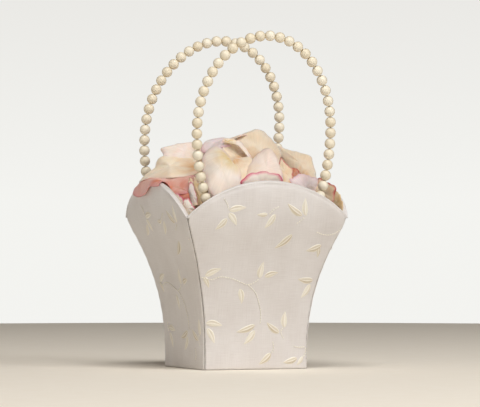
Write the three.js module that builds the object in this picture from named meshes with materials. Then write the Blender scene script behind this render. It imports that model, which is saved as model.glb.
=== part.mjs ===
// A flower girl basket: a square satin basket whose four card-stiffened sides flare out to
// domed rims, with two pearl handles that tilt on sewn tabs, and rose petals heaped inside.
// The origin is the middle of the underside. +Z is up, and the front panel faces -Y.
import * as THREE from 'three';

// ---- Driving dimensions, in millimetres and degrees ------------------------------------
const baseHalf = 41.4;        // half the width of the square foot, outside the satin
const cornerHeight = 114;     // height of the four rim corners
const domeRise = 26;          // how far the middle of each rim stands above the corners
const flareStart = 15;        // the sides are upright up to here,
const flareRadius = 210;      // then curve outward on this radius
const flareEnd = 100;         // up to here,
const lipRadius = 113;        // and curve back to upright on this one

const clearance = 0.3;        // gap between pieces that touch
const coverThickness = 1.8;   // satin over thin wadding
const boardThickness = 1.6;   // card
const liningThickness = 0.8;
const mitre = 0.85;           // what each layer stops short of the corner's diagonal
const rimLipDepth = 5.9;      // how far in the cover's turned edge reaches at the rim
const rimLipLength = 5.5;     // how far down inside it reaches
const foldThickness = 2;      // of the cover over the rim
const foldRoundness = 1.2;    // how far down the fold's rounded shoulders reach
const seamWidth = 0.6;
const seamRecess = 1;         // the seam lies this deep in the corner's groove

const baseCoverThickness = 0.8;
const baseBoardThickness = 2;
const baseCornerRadius = 1;
const floorPadThickness = 2;
const floorPadCornerRadius = 2;

const handleY = 55;           // distance of each handle's pivot from the middle
const pivotHeight = 112;
const handleWidestHeight = 177.4;
const handleTopHeight = 246.8;
const legTaper = 95;          // height over which the legs would close to nothing
const legSpacing = 45.5;      // from the middle to each leg
// The two loops are bent by hand: half their width to the bead centres where they are
// widest, how far each leans sideways at its top, and how many degrees it rests tilted in.
const frontLoop = { halfWidth: 53.2, skew: 3.5, lean: 0 };
const backLoop = { halfWidth: 54.9, skew: -9.2, lean: 2 };
const beadRadius = 4;
const beadPitch = 7.95;
const neckRadius = 1.5;       // at the knot between two beads
const boreRadius = 1.1;
const wireRadius = 0.6;
const pinLength = 7.5;        // the wire's turned-in end
const bendRadius = 1.6;
const strandStart = 3.2;      // the first bead's end, above the pivot
const tabWidth = 5;
const tabTail = 12;           // sewn length of the tab, down from the pivot
const tabHeadRadius = 1.9;
const tabThickness = 1;
const tabGap = 0.5;           // between the tab and the lining

const petalThickness = 0.7;
const petalNarrowing = 0.16;  // how much a petal narrows from its middle towards its foot
const lipStart = 0.4;         // share of the way to the tip where its lip begins to curl
const heapFloor = 73;         // the loose petals jam in the flare of the sides from here up

// ---- Materials -------------------------------------------------------------------------
function finish(color, roughness, metalness = 0) {
  return new THREE.MeshStandardMaterial({ color, roughness, metalness });
}

const outerSatin = () => finish(0xe6ddd3, 0.42);
const innerSatin = () => finish(0xddd0bb, 0.5);
const card = () => finish(0xc9c1b2, 0.9);
const thread = () => finish(0x6f5f52, 0.85);
const ribbon = () => finish(0xe8dfd0, 0.5);
const pearl = () => finish(0xe9e0c6, 0.22, 0.05);
const wireMetal = () => finish(0xc7c2b4, 0.35, 0.9);

// ---- Building closed bodies ------------------------------------------------------------
function signedVolume(points, triangles) {
  const cross = new THREE.Vector3();
  return triangles.reduce((sum, [a, b, c]) => (
    sum + points[a].dot(cross.crossVectors(points[b], points[c])) / 6
  ), 0);
}

// Turns the triangles to face outward if they face inward.
function closedBody(points, triangles) {
  const inward = signedVolume(points, triangles) < 0;
  const index = triangles.flatMap(([a, b, c]) => (inward ? [a, c, b] : [a, b, c]));
  const geometry = new THREE.BufferGeometry();
  geometry.setFromPoints(points);
  geometry.setIndex(index);
  geometry.computeVertexNormals();
  return geometry;
}

// Triangles across a flat loop, wound the same way as the loop.
function fillLoop(outline) {
  const clockwise = THREE.ShapeUtils.isClockWise(outline);
  return THREE.ShapeUtils.triangulateShape(outline, []).map(([a, b, c]) => {
    const corner = [outline[a], outline[b], outline[c]];
    return THREE.ShapeUtils.isClockWise(corner) === clockwise ? [a, b, c] : [a, c, b];
  });
}

// Two triangles across a four-sided face, split along its shorter diagonal.
function splitFace(points, a, b, c, d) {
  const splitAC = points[a].distanceTo(points[c]) <= points[b].distanceTo(points[d]);
  return splitAC ? [[a, b, c], [a, c, d]] : [[a, b, d], [b, c, d]];
}

// Joins loops of equal length into a skin. The ends are closed with a flat loop of the
// same outline, or, where there is no outline, the last loop joins on to the first.
function skin(loops, outline) {
  const size = loops[0].length;
  const points = loops.flat();
  const triangles = [];
  const steps = outline ? loops.length - 1 : loops.length;
  for (let step = 0; step < steps; step += 1) {
    const here = step * size;
    const next = ((step + 1) % loops.length) * size;
    for (let i = 0; i < size; i += 1) {
      const j = (i + 1) % size;
      triangles.push(...splitFace(points, here + i, here + j, next + j, next + i));
    }
  }
  if (outline) {
    const last = (loops.length - 1) * size;
    fillLoop(outline).forEach(([a, b, c]) => {
      triangles.push([a, c, b], [last + a, last + b, last + c]);
    });
  }
  return closedBody(points, triangles);
}

function named(name, geometry, material) {
  const mesh = new THREE.Mesh(geometry, material);
  mesh.name = name;
  return mesh;
}

// ---- The flared sides ------------------------------------------------------------------
function arcBulge(radius, from, to) {
  return Math.sqrt(radius ** 2 - from ** 2) - Math.sqrt(radius ** 2 - to ** 2);
}

// Half the basket's outside width at a height.
function outerHalf(z) {
  const climb = THREE.MathUtils.clamp(z - flareStart, 0, flareEnd - flareStart);
  const flared = baseHalf + arcBulge(flareRadius, 0, climb);
  if (z <= flareEnd) return flared;
  const startSlope = (lipRadius * (flareEnd - flareStart)) / flareRadius;
  return flared + arcBulge(lipRadius, startSlope - (z - flareEnd), startSlope);
}

// Height of the rim, for a place across the panel from -1 to 1.
function rimHeight(across) {
  return cornerHeight + domeRise * (1 - across ** 2);
}

const panelColumns = 8;
const evenLevels = 6;         // level courses up to the end of the flare,
const domeLevels = 3;         // and courses that rise with the dome above it

// Points up one depth in from the outside, as [depth, z]. All layers share their middle
// levels, so that their facets stay parallel.
function climb(depth, bottom, top, belowRim) {
  const points = [[depth, bottom]];
  for (let level = 1; level <= evenLevels; level += 1) {
    points.push([depth, (flareEnd * level) / evenLevels]);
  }
  for (let level = 1; level < domeLevels; level += 1) {
    points.push([depth, flareEnd + ((top - flareEnd) * level) / domeLevels]);
  }
  points.push([depth, top - belowRim]);
  return points;
}

// A layer of the front side. section(top) gives its cross-section as a loop of [depth, z].
function frontLayer(section) {
  const loops = [];
  for (let column = 0; column <= panelColumns; column += 1) {
    const across = (2 * column) / panelColumns - 1;
    loops.push(section(rimHeight(across)).map(([depth, z]) => {
      const half = outerHalf(z) - depth;
      return new THREE.Vector3(across * (half - mitre), -half, z);
    }));
  }
  return skin(loops, loops[0].map(({ y, z }) => new THREE.Vector2(y, z)));
}

const boardDepth = coverThickness + clearance;
const liningDepth = boardDepth + boardThickness + clearance;
const liningInside = liningDepth + liningThickness;
const floorTop = baseCoverThickness + clearance + baseBoardThickness + clearance;

function flatLayerSection(depth, thickness, bottom, belowRim) {
  return (top) => [
    ...climb(depth, bottom, top, belowRim),
    ...climb(depth + thickness, bottom, top, belowRim).reverse(),
  ];
}

// The satin cover runs up the outside, over the rim in a round fold and down inside it.
function coverSection(top) {
  const hemThickness = rimLipDepth - liningInside - clearance;
  const shoulder = foldRoundness / 2;
  const shoulderTop = top - foldRoundness / 4;
  return [
    ...climb(0, clearance, top, foldRoundness),
    [shoulder, shoulderTop],
    [rimLipDepth / 2, top],
    [rimLipDepth - shoulder, shoulderTop],
    [rimLipDepth, top - foldRoundness],
    [rimLipDepth, top - rimLipLength],
    [rimLipDepth - hemThickness, top - rimLipLength],
    [rimLipDepth - hemThickness, top - foldThickness],
    ...climb(coverThickness, clearance, top, foldThickness).reverse(),
  ];
}

const underFold = foldThickness + clearance;
const wallLayers = [
  ['cover', coverSection, outerSatin],
  ['board', flatLayerSection(boardDepth, boardThickness,
    baseCoverThickness + clearance, underFold), card],
  ['lining', flatLayerSection(liningDepth, liningThickness, floorTop, underFold), innerSatin],
];

function makeSides() {
  const sides = new THREE.Group();
  ['front', 'right', 'back', 'left'].forEach((side, quarter) => {
    const turned = new THREE.Group();
    turned.rotation.z = (quarter * Math.PI) / 2;
    wallLayers.forEach(([layer, section, material]) => {
      turned.add(named(`${side}_${layer}`, frontLayer(section), material()));
    });
    sides.add(turned);
  });
  return sides;
}

// The stitched strip between two neighbouring covers, standing in the mitre of the
// front left corner.
function cornerSeam() {
  const inside = boardDepth + boardThickness;
  const halfWidth = seamWidth / 2 / Math.SQRT2;
  const levels = climb(0, baseCoverThickness + clearance, cornerHeight, seamRecess);
  const loops = levels.map(([, z]) => {
    const out = seamRecess - outerHalf(z);
    const into = inside - outerHalf(z);
    return [
      new THREE.Vector3(out - halfWidth, out + halfWidth, z),
      new THREE.Vector3(out + halfWidth, out - halfWidth, z),
      new THREE.Vector3(into + halfWidth, into - halfWidth, z),
      new THREE.Vector3(into - halfWidth, into + halfWidth, z),
    ];
  });
  return skin(loops, loops[0].map(({ x, y }) => new THREE.Vector2(x, y)));
}

function makeSeams() {
  const seams = new THREE.Group();
  ['front_left', 'front_right', 'back_right', 'back_left'].forEach((corner, quarter) => {
    const seam = named(`${corner}_seam`, cornerSeam(), thread());
    seam.rotation.z = (quarter * Math.PI) / 2;
    seams.add(seam);
  });
  return seams;
}

// ---- The bottom ------------------------------------------------------------------------
function squarePlate(half, cornerRadius, thickness) {
  const outline = new THREE.Shape();
  const start = half - cornerRadius;
  outline.moveTo(-start, -half);
  outline.lineTo(start, -half);
  outline.absarc(start, -start, cornerRadius, -Math.PI / 2, 0);
  outline.absarc(start, start, cornerRadius, 0, Math.PI / 2);
  outline.absarc(-start, start, cornerRadius, Math.PI / 2, Math.PI);
  outline.absarc(-start, -start, cornerRadius, Math.PI, 1.5 * Math.PI);
  return new THREE.ExtrudeGeometry(outline, {
    depth: thickness, bevelEnabled: false, curveSegments: 3,
  });
}

function makeBottom() {
  const bottom = new THREE.Group();
  const baseCover = named('base_cover',
    squarePlate(baseHalf - coverThickness - clearance, baseCornerRadius, baseCoverThickness),
    innerSatin());
  const baseBoard = named('base_board',
    squarePlate(baseHalf - liningDepth, baseCornerRadius, baseBoardThickness), card());
  baseBoard.position.z = baseCoverThickness + clearance;
  const floorPad = named('floor_pad',
    squarePlate(baseHalf - liningInside - clearance, floorPadCornerRadius, floorPadThickness),
    innerSatin());
  floorPad.position.z = floorTop;
  bottom.add(baseCover, baseBoard, floorPad);
  return bottom;
}

// ---- The handles -----------------------------------------------------------------------
// Each handle is drawn in its own upright plane, with the pivot at the origin: x across
// and z up. The arch is half an ellipse over legs that draw in towards the rim.
const widestAbovePivot = handleWidestHeight - pivotHeight;
const archRise = handleTopHeight - handleWidestHeight;

function skewed(loop, x, z) {
  const climbed = z / (widestAbovePivot + archRise);
  return new THREE.Vector3(x + loop.skew * climbed ** 2, 0, z);
}

function legPoint(loop, side, z) {
  const below = (widestAbovePivot - z) / legTaper;
  const drawnIn = loop.halfWidth * Math.sqrt(1 - below ** 2);
  return skewed(loop, side * Math.max(drawnIn, legSpacing), z);
}

function loopCurve(loop) {
  const legSteps = 6;
  const archSteps = 20;
  const left = [];
  for (let i = 0; i < legSteps; i += 1) {
    const z = strandStart + ((widestAbovePivot - strandStart) * i) / legSteps;
    left.push(legPoint(loop, -1, z));
  }
  const arch = [];
  for (let i = 0; i <= archSteps; i += 1) {
    const turn = Math.PI * (1 - i / archSteps);
    arch.push(skewed(loop, loop.halfWidth * Math.cos(turn),
      widestAbovePivot + archRise * Math.sin(turn)));
  }
  const right = left.map(({ z }) => legPoint(loop, 1, z)).reverse();
  const curve = new THREE.CatmullRomCurve3([...left, ...arch, ...right], false, 'centripetal');
  curve.arcLengthDivisions = 800;
  return curve;
}

const strandSides = 6;

function beadsOn(curve) {
  return Math.floor(curve.getLength() / beadPitch);
}

// A point at an angle round a line that runs in the handle's plane.
function around(centre, tangent, radius, angle) {
  const outward = new THREE.Vector3(tangent.z, 0, -tangent.x);
  return centre.clone()
    .addScaledVector(outward, radius * Math.cos(angle))
    .add(new THREE.Vector3(0, radius * Math.sin(angle), 0));
}

// The beads, joined where they touch, with one bore through all of them.
function beadStrand(curve) {
  const beadCount = beadsOn(curve);
  const shoulder = 0.6 * beadRadius;
  const shoulderRadius = 0.8 * beadRadius;
  const outside = [];
  const bore = [];
  for (let bead = 0; bead < beadCount; bead += 1) {
    const middle = (bead + 0.5) * beadPitch;
    outside.push([middle - beadPitch / 2, neckRadius]);
    outside.push([middle - shoulder, shoulderRadius]);
    outside.push([middle, beadRadius]);
    outside.push([middle + shoulder, shoulderRadius]);
    bore.push([middle - beadPitch / 2, boreRadius]);
  }
  outside.push([beadCount * beadPitch, neckRadius]);
  bore.push([beadCount * beadPitch, boreRadius]);
  const profile = [...outside, ...bore.reverse()];
  const length = curve.getLength();
  const loops = Array.from({ length: strandSides }, (_, side) => (
    profile.map(([distance, radius]) => {
      const at = Math.min(distance / length, 1);
      return around(curve.getPointAt(at), curve.getTangentAt(at), radius,
        (2 * Math.PI * side) / strandSides);
    })
  ));
  return skin(loops);
}

// The wire's line: a turned-in end, a bend, the arch, and the same again mirrored.
function wireLine(loop, curve) {
  const bendSteps = 3;
  const line = [];
  const footX = (side) => legPoint(loop, side, strandStart).x;
  const turnedEnd = (side) => {
    const inward = -side;
    const points = [[footX(side) + inward * (bendRadius + pinLength), 0, inward, 0]];
    for (let i = 0; i <= bendSteps; i += 1) {
      const turn = (Math.PI / 2) * (i / bendSteps);
      points.push([
        footX(side) + inward * bendRadius * (1 - Math.sin(turn)),
        bendRadius * (1 - Math.cos(turn)),
        inward * Math.cos(turn),
        -Math.sin(turn),
      ]);
    }
    return points.map(([x, z, tangentX, tangentZ]) => ({
      centre: new THREE.Vector3(x, 0, z),
      tangent: new THREE.Vector3(tangentX, 0, tangentZ),
    }));
  };
  line.push(...turnedEnd(-1).map(({ centre, tangent }) => (
    { centre, tangent: tangent.negate() }
  )));
  for (let knot = 0; knot <= beadsOn(curve); knot += 1) {
    const at = Math.min((knot * beadPitch) / curve.getLength(), 1);
    line.push({ centre: curve.getPointAt(at), tangent: curve.getTangentAt(at) });
  }
  line.push(...turnedEnd(1).reverse());
  return line;
}

function handleWire(loop, curve) {
  const ring = Array.from({ length: strandSides }, (_, i) => (2 * Math.PI * i) / strandSides);
  const rings = wireLine(loop, curve).map(({ centre, tangent }) => (
    ring.map((angle) => around(centre, tangent, wireRadius, angle))
  ));
  const outline = ring.map((angle) => new THREE.Vector2(Math.cos(angle), Math.sin(angle)));
  return skin(rings, outline);
}

// A ribbon tab folded over the wire's turned-in end and sewn flat to the lining below it.
// It is drawn beside the lining: out is the distance from the satin, up is along it.
function handleTab() {
  const tailEnd = pivotHeight - tabTail;
  const slope = Math.atan((outerHalf(pivotHeight) - outerHalf(tailEnd)) / tabTail);
  const liningY = outerHalf(pivotHeight) - liningInside;
  const out = (liningY - handleY) * Math.cos(slope);
  const up = (liningY - handleY) * Math.sin(slope);
  const front = tabGap + tabThickness;
  const shape = new THREE.Shape();
  shape.moveTo(tabGap, -tabTail);
  shape.lineTo(tabGap, up - tabThickness);
  shape.lineTo(out, up + tabHeadRadius);
  shape.absarc(out, up, tabHeadRadius, Math.PI / 2, -Math.PI / 3, true);
  shape.lineTo(front, up - 2 * tabHeadRadius);
  shape.lineTo(front, -tabTail);
  const eye = new THREE.Path();
  eye.absarc(out, up, wireRadius + 1.3 * clearance, 0, 2 * Math.PI);
  shape.holes.push(eye);
  const geometry = new THREE.ExtrudeGeometry(shape, {
    depth: tabWidth, bevelEnabled: false, curveSegments: 5,
  });
  geometry.translate(-out, -up, -tabWidth / 2);
  geometry.rotateZ(Math.PI / 2);
  return { geometry, slope };
}

// A tab turned to lie against the front lining, centred on the wire's turned-in end.
function placedTab(name, loop, side) {
  const { geometry, slope } = handleTab();
  const tab = named(name, geometry, ribbon());
  tab.rotation.set(slope, Math.PI / 2, 0, 'XYZ');
  tab.position.x = legPoint(loop, side, strandStart).x - side * (bendRadius + pinLength / 2);
  return tab;
}

// A handle at the front, or turned half round to stand at the back.
function makeHandle(name, loop, halfTurns) {
  const curve = loopCurve(loop);
  const place = new THREE.Group();
  place.rotation.z = halfTurns * Math.PI;
  const pivot = new THREE.Group();
  pivot.position.set(0, -handleY, pivotHeight);
  const tilted = new THREE.Group();
  tilted.rotation.x = THREE.MathUtils.degToRad(-loop.lean);
  tilted.add(
    named(`${name}_handle_wire`, handleWire(loop, curve), wireMetal()),
    named(`${name}_handle_pearls`, beadStrand(curve), pearl()),
  );
  pivot.add(tilted, placedTab(`${name}_handle_left_tab`, loop, -1),
    placedTab(`${name}_handle_right_tab`, loop, 1));
  place.add(pivot);
  return place;
}

// ---- The petals ------------------------------------------------------------------------
const petalRings = 3;
const petalSpokes = 10;

// A rose petal: narrow at its foot (-Y), broad at its tip (+Y), cupped, with a lip that
// curls back at the tip.
function petalGeometry({ length, width, cup, curl }) {
  const surface = (ring, spoke, drop) => {
    const out = ring / petalRings;
    const turn = (2 * Math.PI * spoke) / petalSpokes;
    const along = out * Math.cos(turn);
    const side = out * Math.sin(turn);
    const breadth = 1 - petalNarrowing * (1 - along);
    const lip = (Math.max(along - lipStart, 0) / (1 - lipStart)) ** 2;
    const height = cup * (side ** 2 + along ** 2 / 2) - curl * lip;
    return new THREE.Vector3(
      (side * breadth * width) / 2, (along * length) / 2, height - drop);
  };
  const points = [];
  const triangles = [];
  [0, petalThickness].forEach((drop, face) => {
    const start = points.length;
    const turnOver = ([a, b, c]) => (face === 0 ? [a, b, c] : [a, c, b]);
    points.push(surface(0, 0, drop));
    for (let ring = 1; ring <= petalRings; ring += 1) {
      for (let spoke = 0; spoke < petalSpokes; spoke += 1) {
        points.push(surface(ring, spoke, drop));
      }
    }
    for (let spoke = 0; spoke < petalSpokes; spoke += 1) {
      const next = (spoke + 1) % petalSpokes;
      triangles.push(turnOver([start, start + 1 + next, start + 1 + spoke]));
      for (let ring = 1; ring < petalRings; ring += 1) {
        const inner = start + 1 + (ring - 1) * petalSpokes;
        const outer = inner + petalSpokes;
        triangles.push(turnOver([inner + spoke, inner + next, outer + next]));
        triangles.push(turnOver([inner + spoke, outer + next, outer + spoke]));
      }
    }
  });
  const upperRim = 1 + (petalRings - 1) * petalSpokes;
  const lowerRim = upperRim + points.length / 2;
  for (let spoke = 0; spoke < petalSpokes; spoke += 1) {
    const next = (spoke + 1) % petalSpokes;
    triangles.push([upperRim + spoke, upperRim + next, lowerRim + next]);
    triangles.push([upperRim + spoke, lowerRim + next, lowerRim + spoke]);
  }
  return closedBody(points, triangles);
}

// The heap is built by letting each petal down until it touches what lies below it. The
// grid holds the height of the heap's upper surface so far.
const cell = 1.5;
const gridHalf = 56;
const gridSize = 2 * gridHalf + 1;
const heapTop = new Float64Array(gridSize * gridSize);

function gridIndex(x, y) {
  return (Math.round(y / cell) + gridHalf) * gridSize + Math.round(x / cell) + gridHalf;
}

// Height of the basket's inside or rim under a point.
function basketSurface(x, y) {
  const outward = Math.max(Math.abs(x), Math.abs(y));
  const across = Math.min(Math.abs(x), Math.abs(y)) / Math.max(outward, cell);
  const rim = rimHeight(across);
  if (outward > outerHalf(rim) + cell) return 0;
  let z = heapFloor;
  while (z < rim && outerHalf(z) - rimLipDepth < outward) z += 1;
  return Math.min(z, rim);
}

for (let row = -gridHalf; row <= gridHalf; row += 1) {
  for (let column = -gridHalf; column <= gridHalf; column += 1) {
    const [x, y] = [column * cell, row * cell];
    heapTop[gridIndex(x, y)] = basketSurface(x, y);
  }
}

// Points spread over every face of a mesh, about one grid cell apart.
function spreadPoints(mesh) {
  mesh.updateMatrixWorld(true);
  const { position } = mesh.geometry.attributes;
  const index = mesh.geometry.index.array;
  const corner = (i) => new THREE.Vector3().fromBufferAttribute(position, index[i])
    .applyMatrix4(mesh.matrixWorld);
  const spread = [];
  for (let face = 0; face < index.length; face += 3) {
    const [a, b, c] = [corner(face), corner(face + 1), corner(face + 2)];
    const longest = Math.max(a.distanceTo(b), b.distanceTo(c), c.distanceTo(a));
    const steps = Math.ceil((1.4 * longest) / cell);
    for (let i = 0; i <= steps; i += 1) {
      for (let j = 0; j <= steps - i; j += 1) {
        const towardB = b.clone().sub(a).multiplyScalar(i / steps);
        const towardC = c.clone().sub(a).multiplyScalar(j / steps);
        spread.push(a.clone().add(towardB).add(towardC));
      }
    }
  }
  return spread;
}

function letDown(mesh) {
  const spread = spreadPoints(mesh);
  let rest = -Infinity;
  spread.forEach(({ x, y, z }) => {
    for (let shiftX = -cell; shiftX <= cell; shiftX += cell) {
      for (let shiftY = -cell; shiftY <= cell; shiftY += cell) {
        rest = Math.max(rest, heapTop[gridIndex(x + shiftX, y + shiftY)] - z);
      }
    }
  });
  mesh.position.z += rest + clearance;
  spread.forEach(({ x, y, z }) => {
    const at = gridIndex(x, y);
    heapTop[at] = Math.max(heapTop[at], z + rest + clearance);
  });
}

// tip lifts the petal's broad end, roll tips it sideways, and spin turns it about Z.
function addPetal(heap, { name, color, x, y, spin, tip, roll, ...size }) {
  const mesh = named(name, petalGeometry(size), finish(color, 0.6));
  const [tipAngle, rollAngle, spinAngle] = [tip, roll, spin].map(THREE.MathUtils.degToRad);
  mesh.rotation.set(tipAngle, rollAngle, spinAngle, 'ZXY');
  mesh.position.set(x, y, 0);
  letDown(mesh);
  heap.add(mesh);
}

const cream = 0xf0e2c8;
const blush = 0xecc9bb;
const rose = 0xd88a90;
const salmon = 0xd98a6c;
const peach = 0xe9c7a2;
const lilac = 0xe3c3c6;

// Rings of petals that overlap like shingles fill the flare of the sides.
const lowerRings = [
  { radius: 23, turn: 0, size: 40, color: blush },
  { radius: 25, turn: 45, size: 42, color: cream },
  { radius: 26, turn: 10, size: 41, color: peach },
];
const petalsPerRing = 4;
const lowerPetal = { tip: 8, roll: -16, cup: 6, curl: 3 };
const lengthOverWidth = 4;

// The petals that show above the rim, from the lowest to the highest.
const crownPetals = [
  { name: 'petal_front_rim', color: cream, x: 6, y: -40, spin: 182, tip: 58, roll: 4,
    length: 36, width: 50, cup: 6, curl: 3 },
  { name: 'petal_back_rim', color: blush, x: -10, y: 33, spin: 4, tip: 52, roll: 0,
    length: 36, width: 46, cup: 7, curl: 4 },
  { name: 'petal_left_drape', color: rose, x: -44, y: 6, spin: 88, tip: 4, roll: -4,
    length: 46, width: 46, cup: -5, curl: 5 },
  { name: 'petal_front_left_curl', color: blush, x: -53, y: -27, spin: 130, tip: 18, roll: 8,
    length: 24, width: 20, cup: 8, curl: 3 },
  { name: 'petal_front_left_edge', color: lilac, x: -27, y: -33, spin: 160, tip: 62, roll: 6,
    length: 34, width: 24, cup: 7, curl: 4 },
  { name: 'petal_right_leg', color: salmon, x: 54, y: -21, spin: -110, tip: 8, roll: -8,
    length: 24, width: 26, cup: 6, curl: 2 },
  { name: 'petal_right_rim', color: lilac, x: 44, y: 6, spin: -88, tip: 6, roll: 5,
    length: 42, width: 42, cup: 6, curl: 4 },
  { name: 'petal_right_front', color: lilac, x: 26, y: -28, spin: -160, tip: 12, roll: -8,
    length: 30, width: 28, cup: 6, curl: 4 },
  { name: 'petal_back_right', color: cream, x: 19, y: 25, spin: -20, tip: 12, roll: -6,
    length: 38, width: 38, cup: 7, curl: 5 },
  { name: 'petal_left', color: peach, x: -37, y: 9, spin: 76, tip: 12, roll: -12,
    length: 48, width: 42, cup: -6, curl: 4 },
  { name: 'petal_back_left', color: blush, x: -19, y: 24, spin: 20, tip: 20, roll: -8,
    length: 38, width: 38, cup: 8, curl: 5 },
  { name: 'petal_right_back', color: peach, x: 38, y: 2, spin: -60, tip: 20, roll: 10,
    length: 40, width: 40, cup: 7, curl: 5 },
  { name: 'petal_centre', color: cream, x: -11, y: -17, spin: 170, tip: -42, roll: 4,
    length: 46, width: 44, cup: 7, curl: -5 },
  { name: 'petal_right_centre', color: peach, x: 22, y: -12, spin: 196, tip: -34, roll: -6,
    length: 38, width: 36, cup: 7, curl: -4 },
  { name: 'petal_centre_roll', color: lilac, x: -8, y: 9, spin: 140, tip: -8, roll: 6,
    length: 38, width: 38, cup: -6, curl: 5 },
  { name: 'petal_top', color: peach, x: 16, y: 7, spin: -10, tip: 4, roll: 6,
    length: 38, width: 44, cup: -6, curl: 4 },
];

function makePetals() {
  const heap = new THREE.Group();
  lowerRings.forEach(({ radius, turn, size, color }, ring) => {
    for (let i = 0; i < petalsPerRing; i += 1) {
      const spin = turn + (360 * i) / petalsPerRing;
      const angle = THREE.MathUtils.degToRad(spin + 90);
      addPetal(heap, {
        name: `petal_lower_${ring + 1}_${i + 1}`,
        color,
        x: radius * Math.cos(angle),
        y: radius * Math.sin(angle),
        spin,
        length: size,
        width: size - lengthOverWidth,
        ...lowerPetal,
      });
    }
  });
  crownPetals.forEach((petal) => addPetal(heap, petal));
  return heap;
}

// ---- The basket ------------------------------------------------------------------------
const basket = new THREE.Group();
basket.add(
  makeSides(),
  makeSeams(),
  makeBottom(),
  makeHandle('front', frontLoop, 0),
  makeHandle('back', backLoop, 1),
  makePetals(),
);

export default basket;
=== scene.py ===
"""A flower girl basket in embroidered satin, with pearl handles and a heap of rose petals.

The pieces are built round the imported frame, in metres, in the frame's own axes: +Z up, the
front panel facing -Y, and the origin in the middle of the underside.
"""
import math
import random

import bpy
import numpy as np
from mathutils import Matrix, Vector


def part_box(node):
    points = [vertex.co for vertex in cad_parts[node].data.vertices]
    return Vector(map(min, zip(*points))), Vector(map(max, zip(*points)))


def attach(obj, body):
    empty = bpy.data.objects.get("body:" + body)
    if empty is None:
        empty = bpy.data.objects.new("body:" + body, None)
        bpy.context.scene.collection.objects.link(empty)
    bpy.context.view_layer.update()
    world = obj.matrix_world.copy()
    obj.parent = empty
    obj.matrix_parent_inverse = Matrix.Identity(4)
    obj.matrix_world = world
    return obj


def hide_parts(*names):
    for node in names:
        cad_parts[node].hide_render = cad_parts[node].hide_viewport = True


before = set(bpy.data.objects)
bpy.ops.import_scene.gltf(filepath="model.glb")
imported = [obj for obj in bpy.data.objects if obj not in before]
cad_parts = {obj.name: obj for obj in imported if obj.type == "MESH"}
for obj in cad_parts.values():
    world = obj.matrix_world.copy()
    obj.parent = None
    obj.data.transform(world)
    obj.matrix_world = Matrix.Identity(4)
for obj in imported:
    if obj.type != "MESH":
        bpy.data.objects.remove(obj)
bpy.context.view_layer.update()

MM = 0.001
SIDES = ("front", "right", "back", "left")
CORNERS = ("front_left", "front_right", "back_right", "back_left")

# ---- The basket's profile, as the CAD sides have it --------------------------------------
RIM_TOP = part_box("front_cover")[1][2]           # height of the middle of each rim
DOME_RISE = 26 * MM                             # the corners of the rim are this much lower
CORNER_TOP = RIM_TOP - DOME_RISE
BASE_HALF = 41.4 * MM                           # half the width of the foot
FLARE_START = 15 * MM
FLARE_RADIUS = 210 * MM
FLARE_END = 100 * MM
LIP_RADIUS = 113 * MM
MITRE = 0.25 * MM                               # gap kept to the diagonal of each corner
FOLD_DEPTH = 5.9 * MM                           # how far the turned edge reaches in
FOLD_LENGTH = 5.5 * MM
PUFF = 1.9 * MM                                 # of the padding in the middle of a side
RIM_ROLL = 2.3 * MM
RIM_CREASE = 0.5 * MM
SATIN_THICKNESS = 0.9 * MM
LINING_DEPTH = 4.4 * MM
LINING_THICKNESS = 0.4 * MM
SEAM_DEPTH, SEAM_RADIUS = 1.8 * MM, 0.62 * MM
SEAM_STITCH_PITCH, SEAM_STITCH_RADIUS = 3.6 * MM, 0.11 * MM
FLOOR_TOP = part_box("floor_pad")[0][2]

# ---- The handles --------------------------------------------------------------------------
HANDLE_Y = 55 * MM
PIVOT_HEIGHT = 112 * MM
HANDLE_WIDEST = 65.4 * MM                       # above the pivot
ARCH_RISE = 69.4 * MM
LEG_TAPER = 95 * MM
LEG_SPACING = 45.5 * MM
STRAND_START = 3.2 * MM
# Half of each loop's width, how far it leans sideways at its top, and its tilt in degrees.
LOOPS = {"front": (53.2 * MM, 3.5 * MM, 0.0), "back": (54.9 * MM, -9.2 * MM, 2.0)}
BEAD_PITCH = 7.95 * MM
BEAD_RADIUS = 3.96 * MM
BORE_RADIUS = 0.55 * MM
WIRE_RADIUS = 0.5 * MM
BEND_RADIUS = 1.6 * MM
PIN_LENGTH = 7.5 * MM

# ---- The camera ---------------------------------------------------------------------------
VIEW_ANGLE = 21.8                               # degrees round to the basket's left
CAMERA_DISTANCE = 3.0
CAMERA_HEIGHT = 0.125
CAMERA_LENS = 300.0
CAMERA_SHIFT = (0.0095, -0.0056)
TOWARDS_CAMERA = (-0.31, -0.77, 0.56)           # and up: the way the heap's petals face


# ==== Small tools ==========================================================================
def mesh_object(name, points, faces, material, **attributes):
    """A mesh from points and faces, with a float or vector attribute for each point."""
    mesh = bpy.data.meshes.new(name)
    mesh.from_pydata(np.asarray(points, float).tolist(), [], faces)
    for key, values in attributes.items():
        values = np.asarray(values, float)
        kind, field = ("FLOAT", "value") if values.ndim == 1 else ("FLOAT_VECTOR", "vector")
        mesh.attributes.new(key, kind, "POINT").data.foreach_set(field, values.ravel())
    mesh.polygons.foreach_set("use_smooth", [True] * len(mesh.polygons))
    mesh.materials.append(material)
    mesh.update()
    piece = bpy.data.objects.new(name, mesh)
    bpy.context.collection.objects.link(piece)
    return piece


def turns(count):
    """Angles a whole turn divides into."""
    return [2 * math.pi * k / count for k in range(count)]


def grid_faces(rows, columns, loop_rows=False, loop_columns=False, start=0):
    """Quads over a grid of points stored row by row. A loop joins its last line to its first."""
    faces = []
    for row in range(rows if loop_rows else rows - 1):
        below = start + ((row + 1) % rows) * columns
        here = start + row * columns
        for column in range(columns if loop_columns else columns - 1):
            beside = (column + 1) % columns
            faces.append((here + column, here + beside, below + beside, below + column))
    return faces


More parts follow.
